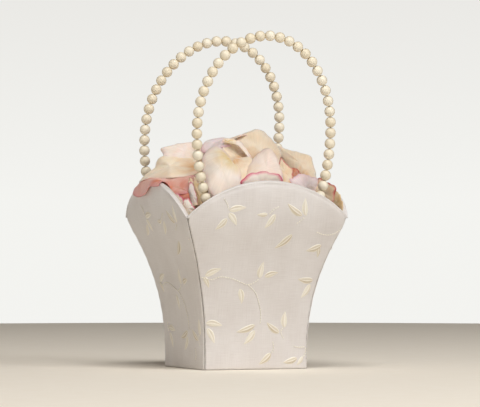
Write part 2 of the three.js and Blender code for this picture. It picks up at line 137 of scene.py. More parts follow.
def capped_tube(rings, sides):
    """Faces of a closed tube over rings of points."""
    faces = grid_faces(rings, sides, loop_columns=True)
    faces.append(tuple(range(sides))[::-1])
    faces.append(tuple((rings - 1) * sides + i for i in range(sides)))
    return faces


class Parts:
    """Gathers many small closed shapes into one mesh."""

    def __init__(self):
        self.points, self.faces, self.extra, self.count = [], [], {}, 0

    def add(self, points, faces, **attributes):
        points = np.asarray(points, float).reshape(-1, 3)
        self.points.append(points)
        self.faces.extend(tuple(self.count + i for i in face) for face in faces)
        for key, values in attributes.items():
            self.extra.setdefault(key, []).append(np.asarray(values, float))
        self.count += len(points)

    def build(self, name, material):
        extra = {key: np.concatenate(values) for key, values in self.extra.items()}
        return mesh_object(name, np.concatenate(self.points), self.faces, material, **extra)


def thicken(piece, thickness, offset=0.0):
    modifier = piece.modifiers.new("thickness", "SOLIDIFY")
    modifier.thickness = thickness
    modifier.offset = offset
    modifier.use_even_offset = False


def quarter_turn(points, quarter):
    """Points of the front side, turned to another side of the square."""
    angle = quarter * math.pi / 2
    turn = np.array([[math.cos(angle), -math.sin(angle), 0],
                     [math.sin(angle), math.cos(angle), 0], [0, 0, 1]])
    return np.asarray(points) @ turn.T


def settle(piece, body, slot, *nodes):
    """Rides the piece on its body and hides the CAD nodes it stands for. slot is not used."""
    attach(piece, body)
    if nodes:
        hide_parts(*nodes)


# ==== Materials ============================================================================
def node(tree, kind, inputs=None, **settings):
    """A shader node. inputs gives its sockets a value or a socket to link from."""
    made = tree.nodes.new(kind)
    for key, value in settings.items():
        setattr(made, key, value)
    for key, value in (inputs or {}).items():
        if isinstance(value, bpy.types.NodeSocket):
            tree.links.new(value, made.inputs[key])
        else:
            made.inputs[key].default_value = value
    return made


def new_material(name, **shader_values):
    material = bpy.data.materials.new(name)
    material.use_nodes = True
    tree = material.node_tree
    shader = tree.nodes["Principled BSDF"]
    for key, value in shader_values.items():
        shader.inputs[key.replace("_", " ")].default_value = value
    return material, tree, shader


def colour_of(red, green, blue):
    """A colour given as sRGB bytes."""
    def linear(byte):
        share = byte / 255
        return share / 12.92 if share <= 0.04045 else ((share + 0.055) / 1.055) ** 2.4
    return (linear(red), linear(green), linear(blue), 1.0)


def attribute(tree, name):
    return node(tree, "ShaderNodeAttribute", attribute_name=name)


def object_place(tree):
    return node(tree, "ShaderNodeTexCoord").outputs["Object"]


def scaled(tree, vector, scale):
    return node(tree, "ShaderNodeVectorMath", {0: vector, 1: scale},
                operation="MULTIPLY").outputs["Vector"]


def noise(tree, vector, scale, detail=2.0, roughness=0.5):
    return node(tree, "ShaderNodeTexNoise", {
        "Vector": vector, "Scale": scale, "Detail": detail, "Roughness": roughness,
    }).outputs["Fac"]


def maths(tree, operation, first, second):
    return node(tree, "ShaderNodeMath", {0: first, 1: second}, operation=operation).outputs[0]


def weighted(tree, first, first_share, second, second_share):
    return maths(tree, "ADD", maths(tree, "MULTIPLY", first, first_share),
                 maths(tree, "MULTIPLY", second, second_share))


def remap(tree, value, low, high, to_low=0.0, to_high=1.0):
    return node(tree, "ShaderNodeMapRange", {
        "Value": value, "From Min": low, "From Max": high, "To Min": to_low, "To Max": to_high,
    }).outputs[0]


def mix(tree, factor, first, second, blend="MIX"):
    made = node(tree, "ShaderNodeMix", data_type="RGBA", blend_type=blend)
    for socket, value in zip((made.inputs[0], made.inputs[6], made.inputs[7]),
                             (factor, first, second)):
        if isinstance(value, bpy.types.NodeSocket):
            tree.links.new(value, socket)
        else:
            socket.default_value = value
    return made.outputs[2]


def paint(tree, shader, colour):
    tree.links.new(colour, shader.inputs["Base Color"])


def bump(tree, shader, height, distance):
    made = node(tree, "ShaderNodeBump", {"Height": height, "Distance": distance, "Strength": 1.0})
    tree.links.new(made.outputs[0], shader.inputs["Normal"])


def satin(name, light, dark, roughness=0.4, back=None):
    """Satin: fine slubs both ways, a faint twill and soft lustre. cloth is in millimetres,
    and its third part is how much of back shows: a painted shade on the turned-in hem."""
    material, tree, shader = new_material(
        name, Roughness=roughness, Sheen_Weight=0.3, Sheen_Roughness=0.4,
        Specular_IOR_Level=0.45, Anisotropic=0.35)
    cloth = attribute(tree, "cloth").outputs["Vector"]
    turned = node(tree, "ShaderNodeSeparateXYZ", {0: cloth}).outputs["Z"]
    weft = noise(tree, scaled(tree, cloth, (0.09, 2.6, 0.0)), 1.0, 3.0, 0.6)
    warp = noise(tree, scaled(tree, cloth, (2.2, 0.06, 0.0)), 1.0, 3.0, 0.6)
    cloud = noise(tree, scaled(tree, cloth, (0.05, 0.035, 0.0)), 1.0, 2.0)
    lines = weighted(tree, weft, 0.6, warp, 0.5)
    twill = node(tree, "ShaderNodeTexWave", {
        "Vector": scaled(tree, cloth, (1.0, 0.45, 0.0)), "Scale": 0.8, "Distortion": 0.4,
        "Detail": 1.0}, wave_type="BANDS", bands_direction="DIAGONAL").outputs["Fac"]
    shade = weighted(tree, lines, 0.75, cloud, 0.4)
    face = mix(tree, remap(tree, shade, 0.36, 0.84), dark, light)
    # back is a painted shade: the turned-in hem inside the rim gets a darker tan where shade
    # falls.
    colour = mix(tree, turned, face, back) if back else face
    paint(tree, shader, colour)
    rough = remap(tree, weft, 0.25, 0.75, roughness - 0.07, roughness + 0.09)
    tree.links.new(rough, shader.inputs["Roughness"])
    height = maths(tree, "ADD", lines, maths(tree, "MULTIPLY", twill, 0.12))
    bump(tree, shader, height, 0.09 * MM)
    return material


def embroidery_thread():
    """Silk thread laid in close stitches. tone paints sheen and shade: from lit cream to shaded
    tan.
    """
    material, tree, shader = new_material(
        "embroidery_thread", Roughness=0.34, Sheen_Weight=0.25, Sheen_Roughness=0.3,
        Specular_IOR_Level=0.6)
    tone = attribute(tree, "tone").outputs["Fac"]
    place = object_place(tree)
    fleck = noise(tree, place, 900.0, 2.0)
    # Painted sheen and shade: the cream colours stand for stitches that catch the light, the tan
    # ones for stitches turned from it.
    cream = mix(tree, fleck, colour_of(255, 253, 246), colour_of(252, 245, 228))
    tan = mix(tree, fleck, colour_of(210, 194, 168), colour_of(190, 172, 144))
    paint(tree, shader, mix(tree, tone, cream, tan))
    bump(tree, shader, noise(tree, place, 2600.0, 2.0), 0.05 * MM)
    return material


def fibrous(name, light, dark, roughness=0.7, sheen=0.2, scale=1500.0, detail=3.0):
    """Thread or card: two tones of fine fibre, slightly raised."""
    material, tree, shader = new_material(name, Roughness=roughness, Sheen_Weight=sheen)
    fibre = noise(tree, object_place(tree), scale, detail)
    paint(tree, shader, mix(tree, fibre, dark, light))
    bump(tree, shader, fibre, 0.06 * MM)
    return material


def pearl_material():
    """Pearl lacquer: champagne cream that varies from bead to bead, with a soft gloss and a
    painted shade, darker towards each bead's edge as seen.
    """
    material, tree, shader = new_material(
        "pearl_lacquer", Roughness=0.44, Specular_IOR_Level=0.55)
    tone = attribute(tree, "tone").outputs["Fac"]
    place = object_place(tree)
    cloud = noise(tree, place, 260.0, 3.0)
    factor = weighted(tree, tone, 0.6, cloud, 0.4)
    colour = mix(tree, factor, colour_of(230, 216, 188), colour_of(246, 239, 222))
    # Painted shade: the colour turns a darker tan where the bead's surface turns away from view.
    limb_shade = node(tree, "ShaderNodeLayerWeight", {"Blend": 0.32}).outputs["Facing"]
    colour = mix(tree, remap(tree, limb_shade, 0.25, 0.9), colour, colour_of(200, 178, 138))
    paint(tree, shader, colour)
    rough = remap(tree, cloud, 0.3, 0.7, 0.4, 0.48)
    tree.links.new(rough, shader.inputs["Roughness"])
    return material


def wire_material():
    material, tree, shader = new_material("soft_wire", Metallic=1.0, Roughness=0.3)
    place = object_place(tree)
    scratch = noise(tree, place, 1200.0, 3.0)
    paint(tree, shader, mix(tree, scratch, colour_of(175, 170, 155), colour_of(214, 209, 195)))
    tree.links.new(remap(tree, scratch, 0.3, 0.7, 0.24, 0.42), shader.inputs["Roughness"])
    return material


def petal_material(name, foot, body, edge):
    """A rose petal: tinted at its foot and edge, veined along its length, softly matt."""
    material, tree, shader = new_material(
        name, Roughness=0.55, Sheen_Weight=0.2, Sheen_Roughness=0.5,
        Specular_IOR_Level=0.3, Subsurface_Weight=0.25, Subsurface_Scale=0.0015)
    shader.inputs["Subsurface Radius"].default_value = (1.0, 0.6, 0.4)
    places = attribute(tree, "petal").outputs["Vector"]
    near_edge = attribute(tree, "edge").outputs["Fac"]
    near_foot = attribute(tree, "foot").outputs["Fac"]
    vein = noise(tree, scaled(tree, places, (34.0, 1.6, 1.0)), 1.0, 3.0, 0.6)
    blotch = noise(tree, scaled(tree, places, (2.2, 1.8, 1.0)), 1.0, 2.0)
    flesh = mix(tree, remap(tree, near_foot, 0.12, 0.85), body, foot)
    pale = mix(tree, 0.35, body, (1.0, 0.98, 0.95, 1.0))
    flesh = mix(tree, remap(tree, blotch, 0.35, 0.7, 0.0, 0.7), flesh, pale)
    lip = maths(tree, "MULTIPLY", remap(tree, near_edge, 0.80, 0.97),
                remap(tree, blotch, 0.3, 0.6, 0.55, 1.0))
    flesh = mix(tree, lip, flesh, edge)
    shade = remap(tree, vein, 0.3, 0.75, 0.93, 1.03)
    veined = mix(tree, 1.0, flesh, node(tree, "ShaderNodeCombineColor", {
        "Red": shade, "Green": shade, "Blue": shade}).outputs[0], "MULTIPLY")
    paint(tree, shader, veined)
    bump(tree, shader, vein, 0.10 * MM)
    return material


# back here is a painted shade, a darker warm tan for the turned-in hem inside the rim.
OUTER_SATIN = satin("outer_satin", colour_of(236, 232, 230), colour_of(214, 207, 203),
                    back=colour_of(206, 190, 162))
INNER_SATIN = satin("inner_satin", colour_of(222, 206, 176), colour_of(202, 184, 150), 0.45)
RIBBON = satin("ribbon_satin", colour_of(240, 232, 216), colour_of(222, 210, 190), 0.38)
EMBROIDERY = embroidery_thread()
# The seam thread's dark colour is partly the thread's own and partly a painted shade for the
# corner's groove.
SEAM_THREAD = fibrous("seam_thread", colour_of(134, 118, 102), colour_of(96, 82, 70))
STITCH_THREAD = fibrous("stitch_thread", colour_of(222, 212, 196), colour_of(196, 182, 162))
CARD = fibrous("card", colour_of(205, 197, 180), colour_of(172, 162, 145), 0.9, 0.0, 420.0, 4.0)
PEARL = pearl_material()
WIRE = wire_material()
# Each family's colours at the foot, over the body and at the edge.
PETAL_COLOURS = {
    "cream": ((240, 208, 140), (252, 232, 218), (250, 222, 212)),
    "pink_edge": ((244, 222, 176), (248, 232, 222), (208, 84, 116)),
    "red_edge": ((226, 176, 120), (232, 204, 172), (188, 44, 58)),
    "blush": ((240, 208, 166), (245, 222, 209), (244, 216, 206)),
    "rose": ((222, 120, 80), (232, 170, 155), (224, 150, 150)),
    "salmon": ((214, 92, 52), (216, 134, 96), (196, 62, 58)),
    "peach": ((228, 170, 110), (244, 219, 190), (247, 228, 212)),
    "olive": ((190, 150, 90), (210, 182, 136), (226, 200, 160)),
    "lilac": ((232, 208, 188), (236, 216, 216), (228, 186, 192)),
}
PETALS = {family: petal_material(f"petal_{family}", *(colour_of(*colour) for colour in colours))
          for family, colours in PETAL_COLOURS.items()}
PETAL_SLOT = {"pink_edge": "petal_cream", "red_edge": "petal_salmon", "olive": "petal_peach"}


# ==== The camera, the light and the stage ==================================================
def seen(right, behind, up):
    """A place in millimetres: to the right of, behind and above the middle of the underside,
    as the camera sees it."""
    angle = math.radians(VIEW_ANGLE)
    return Vector((right * math.cos(angle) + behind * math.sin(angle),
                   behind * math.cos(angle) - right * math.sin(angle), up)) * MM


def make_camera():
    data = bpy.data.cameras.new("camera")
    data.sensor_width = 36.0
    data.lens = CAMERA_LENS
    data.clip_end = 30.0
    data.shift_x, data.shift_y = CAMERA_SHIFT
    camera = bpy.data.objects.new("camera", data)
    bpy.context.collection.objects.link(camera)
    angle = math.radians(VIEW_ANGLE)
    camera.location = (-CAMERA_DISTANCE * math.sin(angle), -CAMERA_DISTANCE * math.cos(angle),
                       CAMERA_HEIGHT)
    camera.rotation_euler = (math.pi / 2, 0, -angle)
    bpy.context.scene.camera = camera


def area_light(name, place, target, width, height, power, colour):
    data = bpy.data.lights.new(name, "AREA")
    data.shape = "RECTANGLE"
    data.size, data.size_y = width, height
    data.energy, data.color = power, colour
    light = bpy.data.objects.new(name, data)
    bpy.context.collection.objects.link(light)
    light.location = place
    light.rotation_euler = (Vector(target) - Vector(place)).to_track_quat("-Z", "Y").to_euler()


def make_light():
    """A window to the right of the camera, a low warm one to the left, and a soft light
    above and in front."""
    middle = (0, 0, 0.12)
    area_light("key", seen(1830, -1540, 1140), middle, 0.9, 1.3, 19, (0.97, 0.98, 1.0))
    area_light("left", seen(-1900, -1300, 600), middle, 1.7, 1.7, 3.5, (1.0, 0.92, 0.82))
    area_light("front", seen(150, -1100, 2300), middle, 1.4, 1.0, 41, (1.0, 0.985, 0.96))
    world = bpy.data.worlds.new("studio")
    world.use_nodes = True
    tree = world.node_tree
    place = node(tree, "ShaderNodeTexCoord").outputs["Generated"]
    height = node(tree, "ShaderNodeSeparateXYZ", {0: place}).outputs["Z"]
    wall = mix(tree, remap(tree, height, 0.0, 0.055), (0.90, 0.90, 0.87, 1), (0.82, 0.81, 0.78, 1))
    studio = mix(tree, remap(tree, height, 0.06, 0.12), wall, (0.09, 0.08, 0.07, 1))
    tree.links.new(studio, tree.nodes["Background"].inputs["Color"])
    bpy.context.scene.world = world
    bpy.context.scene.view_settings.view_transform = "Standard"


def make_stage():
    """A plain round table top."""
    material, tree, shader = new_material("pale_paper", Roughness=0.9)
    place = object_place(tree)
    grain = noise(tree, place, 60.0, 4.0)
    paint(tree, shader, mix(tree, grain, colour_of(245, 236, 221), colour_of(250, 243, 231)))
    radius, thickness, sides, steps = 1.125, 0.04, 180, 8
    rim = thickness / 2
    profile = [(0.001, 0.0)]
    for step in range(steps + 1):
        turn = math.pi * step / steps
        profile.append((radius - rim + rim * math.sin(turn), -rim + rim * math.cos(turn)))
    profile.append((0.001, -thickness))
    points = []
    for out, up in profile:
        for angle in turns(sides):
            points.append((out * math.cos(angle), out * math.sin(angle), up))
    mesh_object("table_top", points, grid_faces(len(profile), sides, False, True),
                         material)


# ==== The satin sides ======================================================================
def half_width(height):
    """Half the basket's outside width at each height."""
    def bulge(radius, start, end):
        return np.sqrt(radius ** 2 - start ** 2) - np.sqrt(radius ** 2 - end ** 2)
    climb = np.clip(height - FLARE_START, 0, FLARE_END - FLARE_START)
    flared = BASE_HALF + bulge(FLARE_RADIUS, 0, climb)
    slope = LIP_RADIUS * (FLARE_END - FLARE_START) / FLARE_RADIUS
    above = np.clip(height - FLARE_END, 0, None)
    return flared + bulge(LIP_RADIUS, slope - above, slope)


def rim_height(across):
    return CORNER_TOP + DOME_RISE * (1 - across ** 2)


def panel_place(across, height, depth):
    """Points of the front side: across from -1 to 1, and depth in from the satin."""
    half = half_width(height) - depth
    return np.stack(np.broadcast_arrays(across * (half - MITRE), -half, height), axis=-1)


def stitched_in(across, height, side):
    """How far the satin stands out: puffed in the middle, gathered below the rim, drawn in
    and puckered at the corner seams."""
    half = half_width(height)
    x = across * half
    rim = rim_height(across)
    share = np.clip(height / rim, 0, 1)
    to_edge = (1 - np.abs(across)) * half
    below_rim = np.clip(rim - height, 0, None)
    shift = 1.7 * side
    out = PUFF * (1 - across ** 4) * np.sin(np.pi * share) ** 0.6
    gathers = (np.sin(x / (1.05 * MM) + shift) + 0.8 * np.sin(x / (0.68 * MM) + 2.1 * shift)
               + 0.7 * np.sin(x / (1.9 * MM) - shift))
    middle = np.exp(-(x / (38 * MM)) ** 2)
    out += 0.08 * MM * gathers * middle * np.exp(-below_rim / (12 * MM))
    folds = np.sin(x / (5.2 * MM) + shift + 30 * height) * np.exp(-below_rim / (30 * MM))
    out += 0.2 * MM * folds
    out += 0.14 * MM * np.sin(x / (9 * MM) + 55 * height + shift) * np.sin(70 * height + shift)
    puckers = np.sin(height / (1.3 * MM) + shift) + 0.6 * np.sin(height / (2.3 * MM))
    out += 0.09 * MM * puckers * np.exp(-to_edge / (4 * MM))
    out -= 0.8 * MM * np.clip(1 - to_edge / (2.2 * MM), 0, 1) ** 2
    return out


def cover_section(rim, side, across):
    """The cover's line from the floor up the outside, over the rim and down inside."""
    roll = RIM_ROLL
    rows_up, rows_roll, rows_down = 96, 12, 5
    bottom = 0.3 * MM
    height = bottom + (rim - roll - bottom) * np.linspace(0, 1, rows_up)[:, None]
    depth = -stitched_in(across, height, side)
    crease = RIM_CREASE * np.exp(-((rim - roll - height) / (1.1 * MM)) ** 2)
    outside = (height, depth + crease)
    turn = np.pi * (np.arange(1, rows_roll) / rows_roll)[:, None]
    middle = FOLD_DEPTH / 2
    over = (rim - roll + roll * np.sin(turn) ** 0.85,
            middle - (middle + 0.25 * MM) * np.cos(turn) + 0 * across)
    down = np.linspace(0, 1, rows_down)[:, None]
    inside = (rim - roll - (FOLD_LENGTH - roll) * down, FOLD_DEPTH + 0.25 * MM + 0 * rim * down)
    rows = [np.broadcast_arrays(h, d, across)[:2] for h, d in (outside, over, inside)]
    return np.concatenate([h for h, _ in rows]), np.concatenate([d for _, d in rows])


def make_cover(quarter):
    side = SIDES[quarter]
    even = np.linspace(-1, 1, 109)
    across = 0.65 * even + 0.35 * np.sin(even * np.pi / 2)
    rim = rim_height(across)[None, :]
    height, depth = cover_section(rim, quarter, across[None, :])
    points = panel_place(across[None, :], height, depth)
    # turned is how much painted shade the cloth gets: 0 outside, rising over the roll to 1 on the
    # turned-in hem.
    turned = np.clip((depth - 0.55 * FOLD_DEPTH) / (0.35 * FOLD_DEPTH), 0, 1)
    cloth = np.stack([points[..., 0] / MM + 200 * quarter, height / MM, turned], axis=-1)
    rows, columns = height.shape
    cover = mesh_object(f"{side}_satin_cover", quarter_turn(points.reshape(-1, 3), quarter),
                        grid_faces(rows, columns), OUTER_SATIN, cloth=cloth.reshape(-1, 3))
    thicken(cover, SATIN_THICKNESS, -1.0)
    settle(cover, "basket", "outer_satin", f"{side}_cover")


def make_lining(quarter):
    side = SIDES[quarter]
    across = np.linspace(-1, 1, 49)[None, :]
    top = rim_height(across) - 2.6 * MM
    share = np.linspace(0, 1, 60)[:, None]
    height = FLOOR_TOP + (top - FLOOR_TOP) * share
    x = across * half_width(height)
    ripple = np.sin(x / (6 * MM) + quarter) * np.sin(height / (11 * MM) + 2 * quarter)
    depth = LINING_DEPTH + 0.2 * MM * ripple
    points = panel_place(across, height, depth)
    cloth = np.stack([points[..., 0] / MM - 300 * quarter, height / MM, 0 * height], axis=-1)
    lining = mesh_object(f"{side}_satin_lining", quarter_turn(points.reshape(-1, 3), quarter),
                         grid_faces(60, 49), INNER_SATIN, cloth=cloth.reshape(-1, 3))
    thicken(lining, LINING_THICKNESS)
    settle(lining, "basket", "inner_satin", f"{side}_lining")


# ==== The embroidery =======================================================================
# Leaves of the sprigs, in millimetres across the panel and up it: foot, tip and tone, a painted
# sheen and shade from lit cream (0) to shaded tan (1).
LEAVES = [
    (-31, 118, -18, 120, 0.3), (-31, 116, -24, 107, 0.0), (-32, 112, -40, 104, 0.4),
    (-1, 115, -9, 115, 0.5), (5, 115, -2, 105, 0.1), (26, 114, 14, 123, 0.9),
    (29, 114, 28, 127, 0.0), (20, 100, 8, 90, 1.0), (45, 92, 33, 88, 0.9),
    (43, 91, 43, 83, 0.9), (52, 82, 47, 77, 0.8), (-1, 68, 1, 80, 0.0),
    (3, 69, 13, 72, 0.7), (-43, 70, -31, 75, 0.2), (-44, 69, -39, 61, 0.6),
    (-15, 60, -13, 49, 0.1), (42, 66, 29, 67, 0.9), (40, 63, 33, 53, 0.1),
    (46, 73, 47, 64, 0.8), (-40, 35, -27, 33, 0.2), (-39, 31, -33, 20, 0.1),
    (-2, 33, -16, 28, 0.9), (-2, 29, -10, 19, 0.1), (17, 27, 7, 35, 0.9),
    (21, 31, 21, 43, 0.0), (11, 12, 2, 4, 0.9), (37, 9, 32, 3, 0.1), (32, 8, 21, 5, 0.9),
]
# The stitched vines that join them.
VINES = [
    [(0, 115), (4, 119), (8, 121)],
    [(-36, 127), (-33, 123), (-31, 118)],
    [(39, 102), (45, 100), (52, 100), (58, 103), (62, 107)],
    [(-46, 69), (-38, 67), (-31, 69), (-23, 68), (-15, 65), (-9, 63), (-4, 65), (-1, 68)],
    [(-9, 63), (-3, 57), (0, 50), (2, 42), (2, 34)],
    [(29, 17), (34, 16), (40, 17)],
    [(12, 21), (13, 16), (11, 12)],
    [(-41, 39), (-41, 34), (-39, 31)],
    [(22, 108), (27, 112), (29, 114)],
    [(20, 31), (18, 28), (21, 22)],
    [(37, 9), (39, 12), (39, 17)],
]
LEAF_WIDTH = 5.4
STITCH_PITCH = 0.75
VINE_PITCH, VINE_WIDTH, VINE_HEIGHT = 1.9, 0.75, 0.5
# How far the cloth is moved across and up on each side, and whether it is mirrored.
SPRIG_SHIFTS = ((0, 0, False), (9, -11, True), (-7, 8, True), (14, -5, False))


def on_satin(x, height, side, lift):
    """Places on the front side's satin, raised by lift, for x and height in metres."""
    across = x / (half_width(height) - MITRE)
    return panel_place(across, height, -stitched_in(across, height, side) - lift)


def stitch_axes(start, end):
    """A stitch's start, length, direction and the direction beside it, on the flat panel."""
    start, end = np.array(start, float), np.array(end, float)
    length = np.linalg.norm(end - start)
    direction = (end - start) / length
    return start, length, direction, np.array([-direction[1], direction[0]])


def leaf_shape(foot, tip, width, tone, side, mirror):
    """A closed, slightly raised leaf of satin stitches slanting from its middle line, with a
    painted
    sheen and shade: one half paler, the other in the leaf's own tone, and a cream highlight
    painted along the middle line and the border."""
    rows, columns = 64, 9
    foot, length, direction, beside = stitch_axes(foot, tip)
    along = np.linspace(0.0, 1.0, rows)[:, None]
    across = np.linspace(-1.0, 1.0, columns)[None, :]
    outline = np.sin(np.pi * along ** 0.8) ** 0.75 * (1 - 0.25 * along)
    bow = 0.05 * length * np.sin(np.pi * along)
    sideways = across * outline * width / 2 + bow
    x, z = (foot[i] + direction[i] * along * length + beside[i] * sideways for i in (0, 1))
    slant = 0.9 * np.abs(across) * outline * width / 2
    phase = (along * length - slant) / STITCH_PITCH
    ridges = 0.5 + 0.5 * np.cos(2 * np.pi * phase)
    vein = np.exp(-(across * 5) ** 2)
    crown = outline * np.sqrt(np.clip(1 - across ** 2, 0, 1)) * (1 - 0.5 * vein)
    lift = (0.05 + crown * (0.34 + 0.2 * ridges)) * MM
    sign = -1 if mirror else 1
    top = on_satin(sign * x * MM, z * MM, side, lift)
    under = on_satin(sign * x * MM, z * MM, side, 0 * lift - 0.12 * MM)
    points = np.concatenate([top.reshape(-1, 3), under.reshape(-1, 3)])
    # Painted sheen and shade for each half of the leaf; highlight_line paints a cream highlight
    # along the middle line and the border.
    half_sheen_shade = np.where(across > 0.1, 0.5 + 0.5 * tone, 0.3 + 0.4 * tone)
    highlight_line = vein + np.clip((np.abs(across) - 0.6) / 0.3, 0, 1)
    tones = half_sheen_shade * (1 - np.clip(highlight_line, 0, 1)) + 0 * along
    return points, two_sided(rows, columns), np.tile(tones.ravel(), 2)


def two_sided(rows, columns):
    """Faces over a grid of points, over a second grid below it, and round their border."""
    faces = grid_faces(rows, columns)
    size = rows * columns
    faces += [tuple(size + i for i in reversed(face)) for face in faces]
    border = list(range(columns))
    border += [row * columns + columns - 1 for row in range(1, rows)]
    border += [(rows - 1) * columns + column for column in range(columns - 2, -1, -1)]
    border += [row * columns for row in range(rows - 2, 0, -1)]
    for here, after in zip(border, border[1:] + border[:1]):
        faces.append((after, here, size + here, size + after))
    return faces


def stitch_shape(start, end, width, height, side, mirror):
    """One short, round-ended stitch lying on the satin."""
    rows, columns = 7, 6
    start, length, direction, beside = stitch_axes(start, end)
    turn = np.linspace(0.06, 0.94, rows)[:, None] * np.pi
    along = 0.5 - 0.5 * np.cos(turn)
    radius = np.sin(turn) ** 0.6
    angle = np.arange(columns)[None, :] * 2 * np.pi / columns
    x, z = (start[i] + direction[i] * along * length
            + beside[i] * radius * width / 2 * np.cos(angle) for i in (0, 1))
    lift = (0.1 + height * radius * (0.5 + 0.5 * np.sin(angle))) * MM
    sign = -1 if mirror else 1
    points = on_satin(sign * x * MM, z * MM, side, lift).reshape(-1, 3)
    return points, capped_tube(rows, columns)


def catmull_rom(before, start, end, after, t):
    return 0.5 * (2 * start + (end - before) * t
                  + (2 * before - 5 * start + 4 * end - after) * t ** 2
                  + (3 * start - before - 3 * end + after) * t ** 3)


def run_along(line):
    """The distance along a line of points at each of them."""
    steps = np.linalg.norm(np.diff(line, axis=0), axis=1)
    return np.concatenate([[0], np.cumsum(steps)])


def places_at(marks, distance, line):
    return np.stack([np.interp(marks, distance, line[:, i]) for i in range(line.shape[1])], -1)


def smooth_line(points, steps=12):
    """A Catmull-Rom curve through points."""
    points = [np.array(p, float) for p in points]
    points = [2 * points[0] - points[1], *points, 2 * points[-1] - points[-2]]
    line = []
    for a, b, c, d in zip(points, points[1:], points[2:], points[3:]):
        for step in range(steps):
            line.append(catmull_rom(a, b, c, d, step / steps))
    line.append(points[-2])
    return np.array(line)


def walk(line, spacing):
    """Points a set distance apart along a line."""
    distance = run_along(line)
    return places_at(np.arange(0, distance[-1], spacing), distance, line)


def fits_panel(x, z, margin=1.5):
    half = half_width(z * MM) / MM
    across = min(abs(x) / half, 1.0)
    return abs(x) < half - margin and 1.5 < z < rim_height(across) / MM - 4


def side_sprigs(quarter):
    """Each side is cut from the same cloth, mirrored and moved, so no two look alike."""
    shift_x, shift_z, mirror = SPRIG_SHIFTS[quarter]
    leaves = [(x0 + shift_x, z0 + shift_z, x1 + shift_x, z1 + shift_z, tone)
              for x0, z0, x1, z1, tone in LEAVES]
    vines = [[(x + shift_x, z + shift_z) for x, z in vine] for vine in VINES]
    leaves = [leaf for leaf in leaves
              if fits_panel(*leaf[:2]) and fits_panel(*leaf[2:4])]
    return leaves, vines, mirror


def make_embroidery(quarter):
    side = SIDES[quarter]
    leaves, vines, mirror = side_sprigs(quarter)
    motifs = Parts()
    for x0, z0, x1, z1, tone in leaves:
        length = math.hypot(x1 - x0, z1 - z0)
        width = min(LEAF_WIDTH, 0.46 * length)
        points, faces, tones = leaf_shape((x0, z0), (x1, z1), width, tone, quarter, mirror)
        motifs.add(quarter_turn(points, quarter), faces, tone=tones)
    for vine in vines:
        marks = walk(smooth_line(vine), VINE_PITCH)
        for start, end in zip(marks, marks[1:]):
            if not (fits_panel(*start) and fits_panel(*end)):
                continue
            gap = 0.1 * (end - start)
            points, faces = stitch_shape(start + gap, end - gap, VINE_WIDTH, VINE_HEIGHT,
                                         quarter, mirror)
            # Vine stitches get tone 0.05, nearly the lit cream of the painted sheen.
            motifs.add(quarter_turn(points, quarter), faces, tone=[0.05] * len(points))
    piece = motifs.build(f"{side}_embroidery", EMBROIDERY)
    settle(piece, "basket", "outer_satin")


# ==== Seams and bottom =====================================================================
def tube(line, radius, sides, up=Vector((0, 0, 1))):
    """A closed tube along a line of Vectors."""
    rings = []
    for i, centre in enumerate(line):
        tangent = (line[min(i + 1, len(line) - 1)] - line[max(i - 1, 0)]).normalized()
        beside = tangent.cross(up).normalized()
        above = beside.cross(tangent)
        for angle in turns(sides):
            rings.append(centre + radius * (math.cos(angle) * beside + math.sin(angle) * above))
    return rings, capped_tube(len(line), sides)


def make_seam(quarter):
    """The dark strip in the corner's groove, partly thread colour and partly painted groove shade,
    drawn together with small cross stitches.
    """
    corner = CORNERS[quarter]
    rows = 90
    line = []
    for row in range(rows):
        height = 1.2 * MM + (CORNER_TOP - 3.4 * MM) * row / (rows - 1)
        wave = 0.12 * MM * math.sin(height / (3.1 * MM) + quarter)
        half = float(half_width(height)) - SEAM_DEPTH
        line.append(Vector((-half + wave, -half - wave, height)))
    points, faces = tube(line, SEAM_RADIUS, 8, Vector((1, 1, 0)))
    piece = mesh_object(f"{corner}_corner_seam", quarter_turn(points, quarter), faces,
                        SEAM_THREAD)
    settle(piece, "basket", "seam_thread", f"{corner}_seam")
    stitches = Parts()
    for i in range(int((CORNER_TOP - 6 * MM) / SEAM_STITCH_PITCH)):
        height = 4 * MM + i * SEAM_STITCH_PITCH
        half = float(half_width(height))
        into, reach = half - 0.6 * MM, 1.15 * MM
        rise = 0.5 * MM if i % 2 else -0.5 * MM
        ends = [Vector((-half + reach, -into, height)), Vector((-into, -into, height + rise / 2)),
                Vector((-into, -half + reach, height + rise))]
        curve = [Vector(p) for p in smooth_line([tuple(e) for e in ends], 4)]
        points, faces = tube(curve, SEAM_STITCH_RADIUS, 6)
        stitches.add(quarter_turn(points, quarter), faces)
    piece = stitches.build(f"{corner}_seam_stitches", STITCH_THREAD)
    settle(piece, "basket", "seam_thread")


def pillow(name, half, bottom, top, crown, material):
    """A square pad with rounded edges. crown is how much its middle stands up."""
    size = 41
    line = np.linspace(-1, 1, size)
    grid_x, grid_y = np.meshgrid(line, line)
    edge = np.maximum(np.abs(grid_x), np.abs(grid_y))
    round_off = np.sqrt(np.clip(1 - np.clip((edge - 0.93) / 0.07, 0, 1) ** 2, 0, 1))
    dome = (1 - grid_x ** 2) * (1 - grid_y ** 2)
    middle = (bottom + top) / 2
    layers = [middle + (top - middle) * round_off + crown * dome,
              middle + (bottom - middle) * round_off]
    points = np.concatenate([np.stack([grid_x * half, grid_y * half, layer], -1).reshape(-1, 3)
                             for layer in layers])
    return mesh_object(name, points, two_sided(size, size), material,
                       cloth=points / MM * (1, 1, 0))


